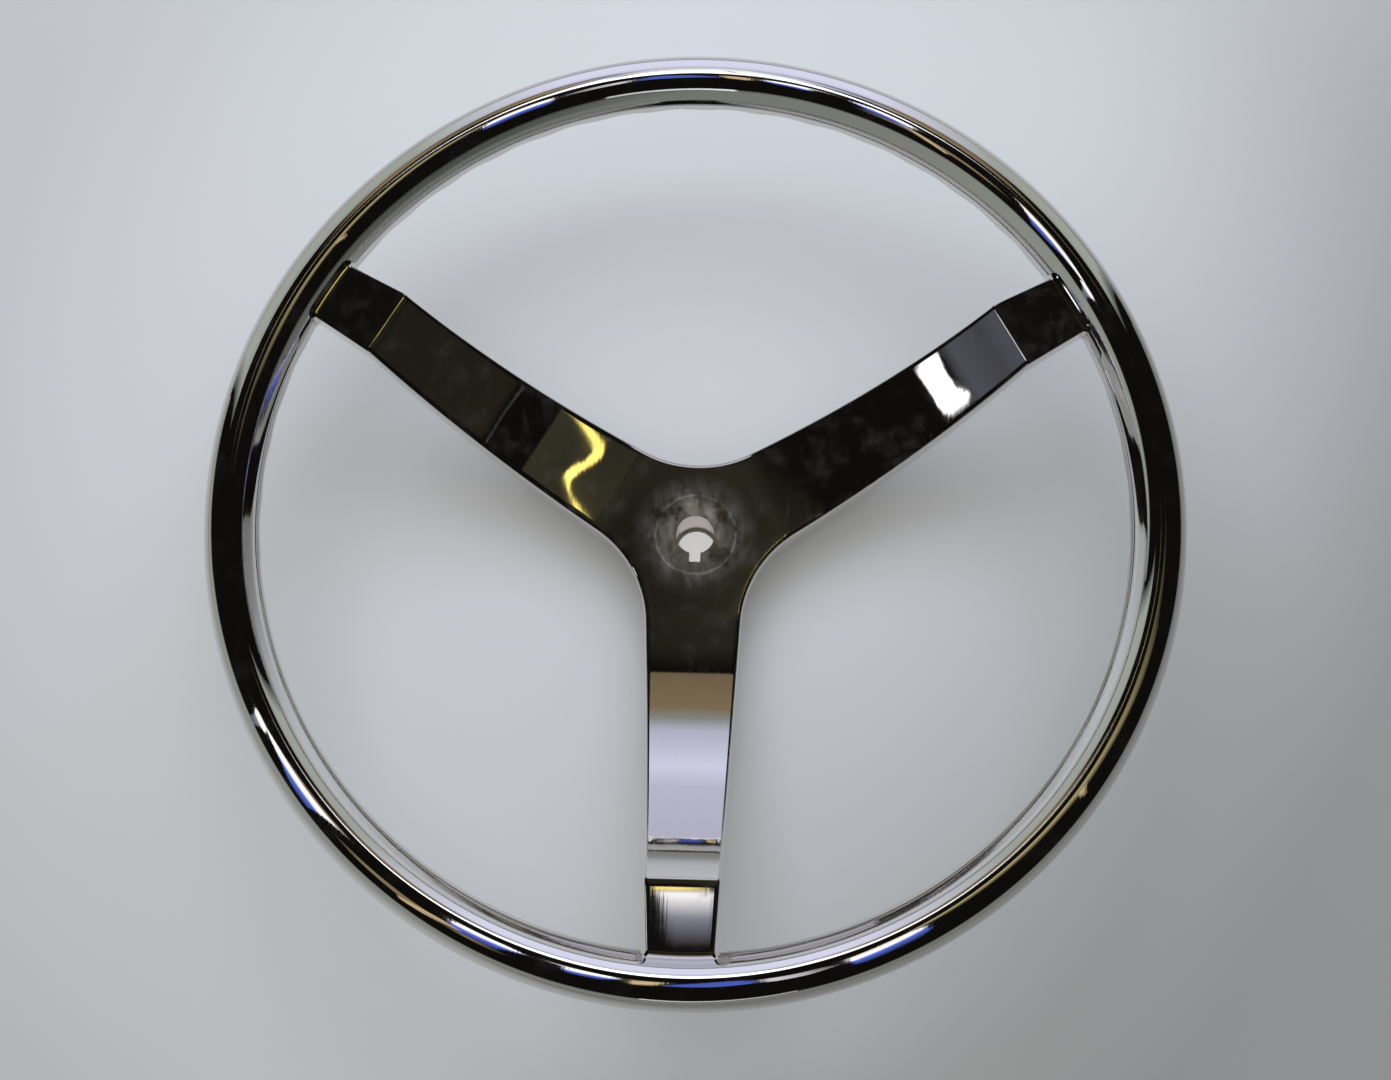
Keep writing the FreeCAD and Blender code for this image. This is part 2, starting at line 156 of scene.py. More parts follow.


# buffed stainless steel: clear, with cloudy smudges, small brown specks and very fine scratches; round the hub its
# colour also holds a painted warm glow
def polishedSteel(name, smudge=1.0, stained=0.35, hub=False):
    material = bpy.data.materials.new(name)
    material.use_nodes = True
    tree = material.node_tree
    shader = tree.nodes["Principled BSDF"]
    cloud = addRange(tree, addNoise(tree, 64, 9, (1, 1, 1), 0.72), 0.48, 0.80, 0, smudge, True)
    streak = addRange(tree, addNoise(tree, 260, 4, (1, 0.22, 1)), 0.60, 0.80, 0, smudge * 0.5)
    dull = addMath(tree, "ADD", cloud, streak)
    rough = addMath(tree, "ADD", addMath(tree, "MULTIPLY", dull, polish["haze"]), polish["roughness"])
    veil = addMath(tree, "MULTIPLY", dull, polish["veil"])
    stainAndPaintedGlow = addRange(tree, addNoise(tree, 75, 8, (1, 1, 1), 0.7), 0.60, 0.80, 0, stained, True)
    speck = addRange(tree, addNoise(tree, 520, 2), 0.74, 0.78, 0, stained * 1.8)
    stainAndPaintedGlow = addMath(tree, "ADD", stainAndPaintedGlow, speck)
    if hub:
        coords = tree.nodes.new("ShaderNodeTexCoord")
        flatten = tree.nodes.new("ShaderNodeVectorMath")
        flatten.operation = "MULTIPLY"
        flatten.inputs[1].default_value = (1, 1, 0)
        tree.links.new(coords.outputs["Object"], flatten.inputs[0])
        length = tree.nodes.new("ShaderNodeVectorMath")
        length.operation = "LENGTH"
        tree.links.new(flatten.outputs["Vector"], length.inputs[0])
        nearBossDullAndGlow = addRange(tree, length.outputs["Value"], polish["glowFrom"], polish["glowTo"], 1, 0, True)
        uneven = addRange(tree, addNoise(tree, 120, 9, (1, 0.6, 1), 0.72), 0.40, 0.66, 0.04, 1)
        fromMark = addMath(tree, "SUBTRACT", length.outputs["Value"], polish["markRadius"])
        mark = addRange(tree, addMath(tree, "ABSOLUTE", fromMark, 0), 0, polish["markWidth"], 1, 0)
        worn = addMath(tree, "ADD", addMath(tree, "MULTIPLY", nearBossDullAndGlow, uneven), addMath(tree, "MULTIPLY", mark, uneven))
        veil = addMath(tree, "ADD", veil, addMath(tree, "MULTIPLY", worn, polish["hubVeil"]))
        # painted warm glow: the colour turns brown close to the boss
        stainAndPaintedGlow = addMath(tree, "ADD", stainAndPaintedGlow, addMath(tree, "MULTIPLY", nearBossDullAndGlow, polish["paintedGlowTint"]))
        bored = addRange(tree, length.outputs["Value"],
                         polish["boreFrom"], polish["boreTo"], polish["boreRoughness"], 0)
        rough = addMath(tree, "ADD", rough, bored)
    tree.links.new(rough, shader.inputs["Roughness"])
    tree.links.new(addMath(tree, "SUBTRACT", 1.0, veil), shader.inputs["Metallic"])
    blend = tree.nodes.new("ShaderNodeMix")
    blend.data_type = "RGBA"
    blend.inputs[6].default_value = polish["colour"]
    blend.inputs[7].default_value = polish["stainAndGlow"]
    tree.links.new(stainAndPaintedGlow, blend.inputs[0])
    tree.links.new(blend.outputs[2], shader.inputs["Base Color"])
    bump = tree.nodes.new("ShaderNodeBump")
    bump.inputs["Strength"].default_value = polish["scratch"]
    bump.inputs["Distance"].default_value = polish["scratchDepth"]
    tree.links.new(addNoise(tree, 900, 3, (1, 0.03, 1)), bump.inputs["Height"])
    tree.links.new(bump.outputs["Normal"], shader.inputs["Normal"])
    return material


# the ring: a tube bent to a circle, with finger grips at its inner back side and a flatter inner front flank
grips = {
    "count": 48,
    "depth": 1.45 * mm,
    "lean": 236,            # middle of a grip, degrees round the tube from its outer side
    "spread": 58,           # reach each way round the tube
    "stop": 6.5,            # plain stretch beside each arm, degrees along the ring
    "fade": 5,
    "flankDepth": 1.8 * mm,
    "flankMiddle": 145,
    "flankSpread": 55,
    "along": 1200,
    "around": 80,
}


# tube radius less the flank's squared cosine, and less a raised cosine along the ring times a squared cosine round it
def ringPoint(turn, around):
    turn, around = np.broadcast_arrays(np.asarray(turn, float), np.asarray(around, float))
    fromGrip = np.minimum(np.abs((around - grips["lean"] + 180) % 360 - 180), grips["spread"])
    band = np.cos(np.pi / 2 * fromGrip / grips["spread"]) ** 2
    fromArm = np.min([np.abs((turn - np.degrees(a) + 180) % 360 - 180) for a in armAngles], 0)
    rise = np.clip((fromArm - grips["stop"]) / grips["fade"], 0, 1)
    wave = (1 - np.cos(np.radians(grips["count"] * (turn + 90)))) / 2
    fromFlank = np.minimum(np.abs((around - grips["flankMiddle"] + 180) % 360 - 180), grips["flankSpread"])
    flank = grips["flankDepth"] * np.cos(np.pi / 2 * fromFlank / grips["flankSpread"]) ** 2
    skin = tubeRadius - flank - grips["depth"] * rise ** 2 * (3 - 2 * rise) * band * wave
    a, t = np.radians(turn), np.radians(around)
    out = ringRadius + skin * np.cos(t)
    return np.stack([out * np.cos(a), out * np.sin(a), ringPlane + skin * np.sin(t)], -1)


alongRing = np.linspace(0, 360, grips["along"], endpoint=False)[:, None]
roundTube = np.linspace(0, 360, grips["around"], endpoint=False)[None, :]
ringSteel = polishedSteel("ringSteel", 0.35, 0.15)
addPiece("ring", ringPoint(alongRing, roundTube), gridQuads(grips["along"], grips["around"], True, True),
                     ringSteel, ["rim_tube"])
print("ring made")


# the spider: pressed sheet with three arms
sheet = {
    "thickness": 2.5 * mm,
    "hubFlat": 30 * mm,
    "valleyRadius": 50 * mm,
    "halfAtAxis": 22.7 * mm,
    "halfAtTip": 13.2 * mm,
    "tabInRing": 5 * mm,       # how far a tab runs on inside the tube
    "tabLength": 26.9 * mm,
    "creaseBend": 2 * mm,
    "shoulderAtHub": 1.8 * mm,
    "shoulderAtTab": 1.2 * mm,
    "hemAtHub": 14 * mm,
    "hemAtTab": 10 * mm,
    "holeRadius": 17.2 * mm,
    "lipEdge": 0.3 * mm,
    "topColumns": 14,
    "shoulderSteps": 8,
    "armRows": 96,
    "bendRows": 10,
    "tabRows": 14,
    "valleyRows": 26,
    "flatRows": 14,          # as many as topColumns, so that the seams meet
}

creaseAt = armReach - sheet["tabLength"]
armTurn = 2 * np.arctan((tabTop - hubTop) / (creaseAt - sheet["hubFlat"]))
armBend = (creaseAt - sheet["hubFlat"]) / np.sin(armTurn)


# height of the sheet's face at distance s along an arm: level, one arc, a short bend, level again
def topHeight(s):
    flat, bend, r = sheet["hubFlat"], armBend, sheet["creaseBend"]
    # the bend's circle touches the arc from below and the tab's level
    bendZ = tabTop - r
    bendS = flat + np.sqrt((bend + r) ** 2 - (hubTop + bend - bendZ) ** 2)
    tilt = np.arcsin((bendS - flat) / (bend + r))
    bendStart = bendS - r * np.sin(tilt)
    s = np.asarray(s, float)
    arc = hubTop + bend - np.sqrt(np.maximum(bend ** 2 - np.clip(s - flat, 0, bend) ** 2, 0))
    bentZ = bendZ + np.sqrt(np.maximum(r ** 2 - (s - bendS) ** 2, 0))
    height = np.where(s < flat, hubTop, np.where(s < bendStart, arc, np.where(s < bendS, bentZ, tabTop)))
    lean = np.where(s < flat, 0, np.where(s < bendStart, np.arcsin(np.clip((s - flat) / bend, 0, 1)),
                                          np.where(s < bendS, np.arcsin(np.clip((bendS - s) / r, 0, 1)), 0)))
    return height, lean, bendStart, bendS


# a level line, then one arc from the hub's flat to (endS, endZ), then level
def arcHeight(s, startZ, endS, endZ):
    flat = sheet["hubFlat"]
    turn = 2 * np.arctan((endZ - startZ) / (endS - flat))
    bend = (endS - flat) / np.sin(turn)
    arc = startZ + bend - np.sqrt(np.maximum(bend ** 2 - np.clip(s - flat, 0, endS - flat) ** 2, 0))
    return np.where(s < flat, startZ, np.where(s < endS, arc, endZ))


armTaper = (sheet["halfAtAxis"] - sheet["halfAtTip"]) / armReach
armLean = np.arctan(armTaper)
valleyCorner = sheet["halfAtAxis"] / (np.sin(np.pi / 3) + np.cos(np.pi / 3) * armTaper)
valleyMiddle = valleyCorner + sheet["valleyRadius"] / np.sin(np.pi / 3 + armLean)
valleyCentre = valleyMiddle * np.array([np.cos(np.pi / 3), np.sin(np.pi / 3)])
straightFrom = valleyCentre[0] - sheet["valleyRadius"] * np.sin(armLean)


# half width of an arm at s and the outline's outward direction there: valley arc, then straight taper
def outlineAt(s):
    s = np.asarray(s, float)
    r = sheet["valleyRadius"]
    onArc = s < straightFrom
    drop = np.sqrt(np.maximum(r ** 2 - (s - valleyCentre[0]) ** 2, 0))
    half = np.where(onArc, valleyCentre[1] - drop, sheet["halfAtAxis"] - armTaper * s)
    normalS = np.where(onArc, (valleyCentre[0] - s) / r, np.sin(armLean))
    normalT = np.where(onArc, drop / r, np.cos(armLean))
    return half, np.stack([normalS, normalT], -1)


# points and faces of one half of one arm's sector, in (out, side, height)
def armHalf():
    n, k = sheet["topColumns"], sheet["shoulderSteps"]
    flat, thick = sheet["hubFlat"], sheet["thickness"]
    bendStart, bendS = topHeight(0)[2:]
    armS = flat + armBend * np.sin(np.linspace(0, np.arcsin((bendStart - flat) / armBend), sheet["armRows"] + 1))
    bendAngle = np.linspace(np.arcsin((bendS - bendStart) / sheet["creaseBend"]), 0, sheet["bendRows"] + 1)[1:]
    bendRow = bendS - sheet["creaseBend"] * np.sin(bendAngle)
    tabS = np.linspace(bendS, armReach + sheet["tabInRing"], sheet["tabRows"] + 1)[1:]
    rowS = np.concatenate([armS, bendRow, tabS])
    # valley rows run round the arc from the arm's first row to the line between two arms
    startAngle = np.arctan2(outlineAt(flat)[0] - valleyCentre[1], flat - valleyCentre[0])
    endAngle = np.arctan2(-valleyCentre[1], -valleyCentre[0])
    valleyAngle = np.linspace(startAngle, endAngle, sheet["valleyRows"] + 1)
    valleyB = valleyCentre + sheet["valleyRadius"] * np.stack([np.cos(valleyAngle), np.sin(valleyAngle)], -1)
    valleyM = -np.stack([np.cos(valleyAngle), np.sin(valleyAngle)], -1)
    half, normal = outlineAt(rowS)
    edge = np.concatenate([valleyB[::-1][:-1], np.stack([rowS, half], -1)])
    # outward means away from the sheet, towards the valley's centre
    outward = np.concatenate([valleyM[::-1][:-1], normal])
    count = len(edge)
    isValley = np.arange(count) < sheet["valleyRows"]
    s = edge[:, 0]
    sForHeight = np.where(isValley, 0, s)
    height, lean = topHeight(sForHeight)[:2]
    share = np.clip((sForHeight - flat) / (creaseAt - flat), 0, 1)
    radius = sheet["shoulderAtHub"] + (sheet["shoulderAtTab"] - sheet["shoulderAtHub"]) * share
    up = np.stack([-np.sin(lean), np.zeros(count), np.cos(lean)], -1)
    away = np.concatenate([outward, np.zeros((count, 1))], 1)
    edgePoint = np.concatenate([edge, height[:, None]], 1)
    between = (up * away).sum(1)
    centre = edgePoint - radius[:, None] * (up + away) / (1 + between)[:, None]
    angle = np.arccos(np.clip(between, -1, 1))
    shoulder = []
    for step in np.linspace(0, 1, k + 1):
        fromUp, fromAway = np.sin((1 - step) * angle)[:, None], np.sin(step * angle)[:, None]
        direction = (fromUp * up + fromAway * away) / np.sin(angle)[:, None]
        shoulder.append(centre + radius[:, None] * direction)
    wallTop = shoulder[-1]
    hemZ = arcHeight(np.where(isValley, 0, wallTop[:, 0]),
                     hubTop - sheet["hemAtHub"], creaseAt, tabTop - sheet["hemAtTab"])
    lip = sheet["lipEdge"]

    def onWall(inset, z):
        p = wallTop - inset * away
        p[:, 2] = z
        return p

    wall = [onWall(0, wallTop[:, 2] + (hemZ + lip - wallTop[:, 2]) * f) for f in (0.25, 0.5, 0.75, 1.0)]
    lipRow = [onWall(lip, hemZ), onWall(thick - lip, hemZ), onWall(thick, hemZ + lip)]
    underEnd = flat + np.sqrt((armBend + thick) ** 2 - (hubTop + armBend - tabTop + thick) ** 2)
    inner = wallTop - thick * away
    underZ = arcHeight(np.where(isValley, 0, inner[:, 0]), hubTop - thick, underEnd, tabTop - thick)
    innerWall = [onWall(thick, hemZ + lip + (underZ - hemZ - lip) * f) for f in (0.33, 0.66, 1.0)]
    # the middle line of the arm, or the hole's edge where a row belongs to the hub
    theta0 = np.arctan2(half[0], flat) * 0.75
    valleyTheta = np.linspace(np.pi / 3, theta0, sheet["valleyRows"] + 1)[:-1]
    hole = sheet["holeRadius"]
    middle = np.stack([s, np.zeros(count)], -1)
    middle[isValley] = hole * np.stack([np.cos(valleyTheta), np.sin(valleyTheta)], -1)
    f = np.linspace(0, 1, n + 1)[None, :-1, None]
    topEnd = shoulder[0][:, None, :2]
    top2 = middle[:, None, :] + f * (topEnd - middle[:, None, :])
    topZ = topHeight(np.where(isValley[:, None], 0, top2[..., 0]))[0]
    top = np.concatenate([top2, topZ[..., None]], -1)
    underTop = innerWall[-1][:, None, :2]
    under2 = underTop + np.linspace(0, 1, n + 1)[None, 1:, None] * (middle[:, None, :] - underTop)
    underZs = arcHeight(np.where(isValley[:, None], 0, under2[..., 0]), hubTop - thick, underEnd, tabTop - thick)
    under = np.concatenate([under2, underZs[..., None]], -1)
    section = np.concatenate([top] + [p[:, None, :] for p in shoulder + wall + lipRow + innerWall] + [under], 1)
    cols = section.shape[1]
    points = section.reshape(-1, 3)
    # rows of the valley join the arm's rows only from the shoulder on, so their fans are cut apart there
    quads = gridQuads(count, cols)
    rowIndex = quads[:, 0] // cols
    colIndex = quads[:, 0] % cols
    joint = rowIndex == sheet["valleyRows"] - 1
    fanTop = joint & (colIndex < n)
    fanUnder = joint & (colIndex >= cols - n - 1)
    keep = ~(fanTop | fanUnder)
    parts = [points]
    faces = [quads[keep]]
    offset = len(points)
    first = sheet["valleyRows"]
    for kind in ("top", "under"):
        z = hubTop if kind == "top" else hubTop - thick
        outer = section[first, :n + 1] if kind == "top" else section[first, cols - n - 1:][::-1]
        theta = np.linspace(0, theta0, n + 1)
        ringPoints = np.stack([hole * np.cos(theta), hole * np.sin(theta), np.full(n + 1, z)], -1)
        g = np.linspace(0, 1, sheet["flatRows"] + 1)[:, None, None]
        patch = ringPoints + g * (outer - ringPoints)
        parts.append(patch.reshape(-1, 3))
        quadsHere = gridQuads(sheet["flatRows"] + 1, n + 1, start=offset)
        faces.append(quadsHere if kind == "top" else quadsHere[:, ::-1])
        offset += patch.size // 3
        # the thin wedge between the fan's last line and the first valley row
        last = section[first - 1, :n + 1] if kind == "top" else section[first - 1, cols - n - 1:][::-1]
        inner0, outer0 = patch[0, -1], patch[-1, -1]
        line = inner0 + np.linspace(0, 1, n + 1)[:, None] * (outer0 - inner0)
        wedge = np.stack([line, last])
        parts.append(wedge.reshape(-1, 3))
        wedgeQuads = gridQuads(2, n + 1, start=offset)
        faces.append(wedgeQuads if kind == "under" else wedgeQuads[:, ::-1])
        offset += wedge.size // 3
    points = np.concatenate(parts)
    faceList = [list(q) for q in np.concatenate(faces)]
    # the tip is closed inside the tube
    lastRow = (count - 1) * cols
    faceList.append(list(range(lastRow, lastRow + cols)))
    # the wall of the hole, from the sheet's face to its back
    rim = np.concatenate([np.linspace(0, theta0, n + 1), valleyTheta[::-1]])
    wallRows = [np.stack([hole * np.cos(rim), hole * np.sin(rim), np.full(len(rim), z)], -1)
                for z in (hubTop, hubTop - thick)]
    faceList += gridQuads(2, len(rim), start=len(points)).tolist()
    points = np.concatenate([points] + wallRows)
    return points, faceList


# three arms, each of two mirrored halves, turned about the bore's axis
def spiderMesh():
    halfPoints, halfFaces = armHalf()
    allPoints, allFaces, offset = [], [], 0
    for angle in armAngles:
        for side in (1, -1):
            out, across, z = halfPoints[:, 0], side * halfPoints[:, 1], halfPoints[:, 2]
            x = out * np.cos(angle) - across * np.sin(angle)
            y = out * np.sin(angle) + across * np.cos(angle)
            allPoints.append(np.stack([x, y, z], -1))
            allFaces += [[v + offset for v in (face if side == 1 else face[::-1])] for face in halfFaces]
            offset += len(halfPoints)
    return np.concatenate(allPoints), allFaces


spiderSteel = polishedSteel("spiderSteel", 1.0, 0.35, True)
spiderPoints, spiderFaces = spiderMesh()
addPiece("spider", spiderPoints, spiderFaces, spiderSteel, ["spoke_spider"], 35)
print("spider made")


# the boss: turned from bar, its spigot flush with the sheet's face, with a tapered bore and a keyway
boss = {
    "edge": 1.2 * mm,
    "spigotRadius": 17.2 * mm,
    "spigotEdge": 0.4 * mm,
    "mouthRadius": 9.525 * mm,
    "taperRun": 24,           # length over which the bore's radius loses one unit
    "boreEdge": 0.35 * mm,
    "backCircle": 14.5 * mm,  # circles on the two flat faces, where the skin turns to the bore's outline
    "frontCircle": 14.6 * mm,
    "keyHalf": 2.38 * mm,
    "keyFloor": 11.9 * mm,
    "arcSteps": 168,
    "slotSteps": 8,
    "wallSteps": 5,
}


# closed outline of the keyed bore at a radius: slot floor, slot wall, the long arc, slot wall
def boreOutline(radius, grow=0):
    half, floor = boss["keyHalf"] + grow, boss["keyFloor"] + grow
    radius = radius + grow
    corner = np.sqrt(radius ** 2 - half ** 2)
    start = np.arctan2(-corner, half)
    arc = np.linspace(start, start + 2 * np.pi - 2 * np.arctan2(half, corner), boss["arcSteps"] + 1)
    parts = [
        np.stack([np.linspace(-half, half, boss["slotSteps"] + 1)[:-1], np.full(boss["slotSteps"], -floor)], -1),
        np.stack([np.full(boss["wallSteps"], half), np.linspace(-floor, -corner, boss["wallSteps"] + 1)[:-1]], -1),
        radius * np.stack([np.cos(arc), np.sin(arc)], -1)[:-1],
        np.stack([np.full(boss["wallSteps"], -half), np.linspace(-corner, -floor, boss["wallSteps"] + 1)[:-1]], -1),
    ]
    return np.concatenate(parts)


# rows of one closed skin: out along the back face, up the turned profile, in over the front, down the bore
def bossRows():
    step = hubTop - sheet["thickness"]
    base = boreOutline(boss["mouthRadius"])
    direction = base / np.linalg.norm(base, axis=1)[:, None]

    def circle(radius, z):
        return np.concatenate([radius * direction, np.full((len(base), 1), z)], 1)

    def bore(z, grow=0):
        outline = boreOutline(boss["mouthRadius"] - z / boss["taperRun"], grow)
        return np.concatenate([outline, np.full((len(outline), 1), z)], 1)

    spigot, edge, chamfer = boss["spigotRadius"], boss["spigotEdge"], boss["boreEdge"]
    rows = [bore(0, chamfer)]
    rows += [circle(radius, 0) for radius in (boss["backCircle"], bossRadius - boss["edge"])]
    rows += [circle(bossRadius, z) for z in (boss["edge"], step * 0.35, step * 0.65, step)]
    rows += [circle(spigot, step), circle(spigot, hubTop - edge), circle(spigot - edge, hubTop)]
    rows += [circle(boss["frontCircle"], hubTop)]
    rows += [bore(hubTop, chamfer)] + [bore(z) for z in np.linspace(hubTop - chamfer, chamfer, 9)]
    return np.stack(rows)


bossSteel = polishedSteel("bossSteel", 0.8, 0.3, True)
bossGrid = bossRows()
addPiece("boss", bossGrid, gridQuads(*bossGrid.shape[:2], True, True), bossSteel, ["hub_boss"], 28)
print("boss made")


# welds: a rippled bead behind the sheet round the boss, and ground hollows where the tabs meet the ring
welds = {
    "hubLeg": 3.9 * mm,
    "ripple": 0.22 * mm,
    "ripples": 56,
    "around": 448,
    "across": 12,
    "tabLeg": 2.3 * mm,
    "ringLeg": 2.3 * mm,
    "sink": 1.2 * mm,
    "hubSink": 0.5 * mm,      # how far the bead's hidden side stands in the boss
    "sheetSink": 0.4 * mm,    # and in the sheet
    "lip": 0.8 * mm,          # plain stretch above a hem's edge
    "overlap": 0.02 * mm,     # how far a hollow's edges stand in the tab and the ring
    "steps": 14,
}
weldSteel = polishedSteel("weldSteel", 1.3, 1.0)


# a quarter bow from the sheet's back to the boss, swept round the boss, its radius rippled by the size of a sine
def hubBead():
    turn = np.linspace(0, 2 * np.pi, welds["around"], endpoint=False)[:, None]
    across = np.linspace(0, np.pi / 2, welds["across"] + 1)[None, :]
    lag = 0.5 * np.sin(2 * across)
    ripple = welds["ripple"] * np.abs(np.sin(welds["ripples"] / 2 * turn + lag)) * np.sin(2 * across)
    bow = welds["hubLeg"] * (0.80 * np.ones_like(across) + 0.20 * np.cos(2 * across) ** 2) - ripple
    out = bossRadius + bow * np.cos(across)
    z = hubTop - sheet["thickness"] - bow * np.sin(across)
    inside = np.full_like(turn, bossRadius - welds["hubSink"])
    out = np.concatenate([out, inside, inside], 1)
    inSheet = np.full_like(turn, hubTop - sheet["thickness"] + welds["sheetSink"])
    z = np.concatenate([z, np.full_like(turn, z[0, -1]), inSheet], 1)
    out = np.concatenate([out, np.full_like(turn, out[0, 0])], 1)
    z = np.concatenate([z, inSheet], 1)
    return np.stack([out * np.cos(turn), out * np.sin(turn), z], -1)


beadGrid = hubBead()
addPiece("bossWeld", beadGrid, gridQuads(*beadGrid.shape[:2], True, True), weldSteel, ["hub_weld"], 50)


# the ring's inner side in an arm's own directions: distance out along the arm at a side and a height
def ringInnerSide(side, z):
    around = np.linspace(95, 265, 600)
    skin = ringPoint(np.degrees(armAngles[1]), around)
    radius = np.interp(-z, -skin[:, 2], np.hypot(skin[:, 0], skin[:, 1]))
    return np.sqrt(radius ** 2 - side ** 2)


# hollow between tab and ring: a curve from the tab's skin by way of the corner to the ring's skin, all round the tab
def tabBead():
    lip, hem = welds["lip"], tabTop - sheet["hemAtTab"]
    bend = sheet["shoulderAtTab"]
    middle = ringInnerSide(0, tabTop)
    half = float(outlineAt(middle)[0])
    angle = np.radians(np.linspace(90, 0, 9))
    wall = np.linspace(tabTop - bend, hem + lip, 10)[1:]
    flat = np.linspace(0, half - bend, 12)[:-1]
    side = np.concatenate([flat, half - bend + bend * np.cos(angle), np.full(len(wall), half)])
    height = np.concatenate([np.full(len(flat), tabTop), tabTop - bend + bend * np.sin(angle), wall])
    outSide = np.concatenate([np.zeros(len(flat)), np.cos(angle), np.ones(len(wall))])
    outUp = np.concatenate([np.ones(len(flat)), np.sin(angle), np.zeros(len(wall))])
    otherSide = slice(None, 0, -1)
    side = np.concatenate([-side[otherSide], side])
    height, outUp = (np.concatenate([v[otherSide], v]) for v in (height, outUp))
    outSide = np.concatenate([-outSide[otherSide], outSide])
    corner = np.stack([ringInnerSide(side, height), side, height], -1)
    outward = np.stack([np.zeros(len(side)), outSide, outUp], -1)
    widen = armTaper * welds["tabLeg"] * outSide[:, None] * np.array([0, 1, 0])
    onTab = corner + widen - np.array([welds["tabLeg"], 0, 0]) - welds["overlap"] * outward
    lifted = corner + welds["ringLeg"] * outward
    onRing = lifted.copy()
    onRing[:, 0] = ringInnerSide(lifted[:, 1], lifted[:, 2]) + welds["overlap"]
    f = np.linspace(0, 1, welds["steps"] + 1)[None, :, None]
    curve = (1 - f) ** 2 * onTab[:, None] + 2 * f * (1 - f) * corner[:, None] + f ** 2 * onRing[:, None]
    sunk = corner - welds["sink"] * outward + np.array([welds["sink"], 0, 0])
    grid = np.concatenate([curve, sunk[:, None]], 1)
    rows, cols = grid.shape[:2]
    caps = [list(range(cols)), [(rows - 1) * cols + k for k in range(cols)][::-1]]
    return grid.reshape(-1, 3), gridQuads(rows, cols, False, True).tolist() + caps


beadPoints, beadFaces = tabBead()
for armName, angle in zip(armNames, armAngles):
    turned = np.array([[np.cos(angle), np.sin(angle), 0], [-np.sin(angle), np.cos(angle), 0], [0, 0, 1]])
    addPiece(f"armWeld_{armName}", beadPoints @ turned, beadFaces, weldSteel,
             [f"spoke_weld_{armName}"], 50)
print("welds made")


# camera at the photograph's place, solved from the outlines of the ring and the hub
view = {
    "place": (0.018158, -0.169446, 0.7398),
    "right": (0.999458, 0.026875, -0.019016),
    "up": (-0.021798, 0.973058, 0.229527),
    "back": (0.024672, -0.228988, 0.973117),
    "focalPixels": 1691.63,
    "imageWidth": 1391,
    "sensorWidth": 36,
}
camera = bpy.data.cameras.new("camera")
camera.sensor_width = view["sensorWidth"]
camera.lens = view["sensorWidth"] * view["focalPixels"] / view["imageWidth"]
camera.clip_start = 0.01
cameraObject = bpy.data.objects.new("camera", camera)
viewTurn = Matrix((view["right"], view["up"], view["back"])).transposed().to_4x4()
cameraObject.matrix_world = Matrix.Translation(view["place"]) @ viewTurn
bpy.context.scene.collection.objects.link(cameraObject)
bpy.context.scene.camera = cameraObject
bpy.context.scene.view_settings.view_transform = "Standard"


# pale table with painted shade: its colour is darker to the lower right and at the corners, where the light falls off
tableLook = {
    "bright": (0.61, 0.605, 0.60, 1),
    # the painted shade's colour, and the direction in which it deepens
    "paintedShadeTone": (0.33, 0.33, 0.32, 1),
    "towards": (0.85, -0.55, 0),
    "half": 4,                # half of the table's width
}
table = bpy.data.materials.new("tablePaper")
table.use_nodes = True
tableShader = table.node_tree.nodes["Principled BSDF"]
tableShader.inputs["Roughness"].default_value = 0.9
tableCoords = table.node_tree.nodes.new("ShaderNodeTexCoord")
tableSlope = table.node_tree.nodes.new("ShaderNodeVectorMath")
tableSlope.operation = "DOT_PRODUCT"
tableSlope.inputs[1].default_value = tableLook["towards"]
table.node_tree.links.new(tableCoords.outputs["Object"], tableSlope.inputs[0])
tableSquare = table.node_tree.nodes.new("ShaderNodeVectorMath")
tableSquare.operation = "DOT_PRODUCT"
table.node_tree.links.new(tableCoords.outputs["Object"], tableSquare.inputs[0])
table.node_tree.links.new(tableCoords.outputs["Object"], tableSquare.inputs[1])
# painted shade: the table's colour darkens towards the corners and to the lower right
paintedCornerShade = addRange(table.node_tree, tableSquare.outputs["Value"], 0.05, 0.16, 0, 0.3, True)
paintedSideShade = addRange(table.node_tree, tableSlope.outputs["Value"], 0, 0.36, 0, 1, True)
paintedShadeShare = addMath(table.node_tree, "ADD", paintedCornerShade, paintedSideShade)
tableShadeBlend = table.node_tree.nodes.new("ShaderNodeMix")
tableShadeBlend.data_type = "RGBA"
tableShadeBlend.inputs[6].default_value = tableLook["bright"]
tableShadeBlend.inputs[7].default_value = tableLook["paintedShadeTone"]
table.node_tree.links.new(paintedShadeShare, tableShadeBlend.inputs[0])
table.node_tree.links.new(tableShadeBlend.outputs[2], tableShader.inputs["Base Color"])
floorMesh = bpy.data.meshes.new("floor")
tableEdge = tableLook["half"]
corners = [(x * tableEdge, y * tableEdge, 0) for x, y in ((-1, -1), (1, -1), (1, 1), (-1, 1))]
floorMesh.from_pydata(corners, [], [(0, 1, 2, 3)])
floorMesh.materials.append(table)
floor = bpy.data.objects.new("floor", floorMesh)
bpy.context.scene.collection.objects.link(floor)

